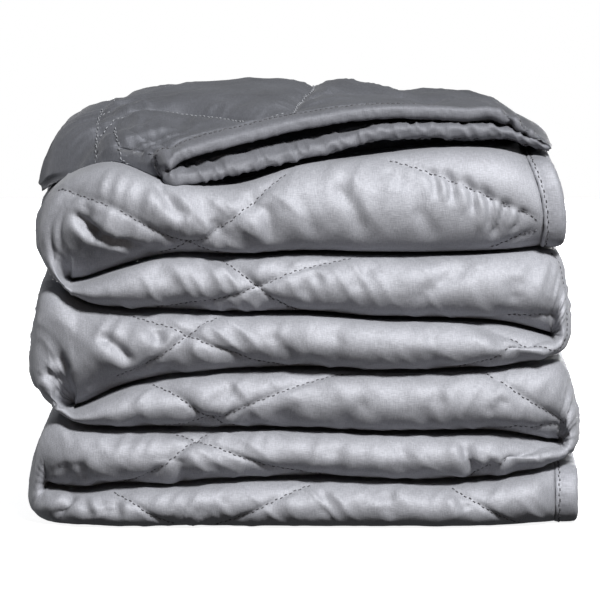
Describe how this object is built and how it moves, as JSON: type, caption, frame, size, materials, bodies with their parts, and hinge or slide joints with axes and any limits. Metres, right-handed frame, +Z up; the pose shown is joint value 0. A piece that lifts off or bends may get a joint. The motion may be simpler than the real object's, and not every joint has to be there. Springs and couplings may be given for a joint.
{
  "type": "weighted blanket",
  "caption": "Quilted satin weighted blanket, folded back and forth into a low square stack, with one bound edge turned over on top.",
  "frame": {"origin": "on the floor under the middle of the stack", "axes": "+Z up through the layers; +X to the right along the layers, towards the blanket's bound ends; -Y towards the creased front, where the turned-over hems show"},
  "size_m": [0.3139, 0.3085, 0.2485],
  "materials": {
    "satin_shell": "blue-grey sateen with a soft sheen",
    "satin_binding": "blue-grey sateen, folded and stitched"
  },
  "bodies": {
    "root": {"quilt": "satin_shell", "binding_turned_edge": "satin_binding", "binding_top_end": "satin_binding", "binding_bottom_end": "satin_binding"}
  },
  "joints": []
}
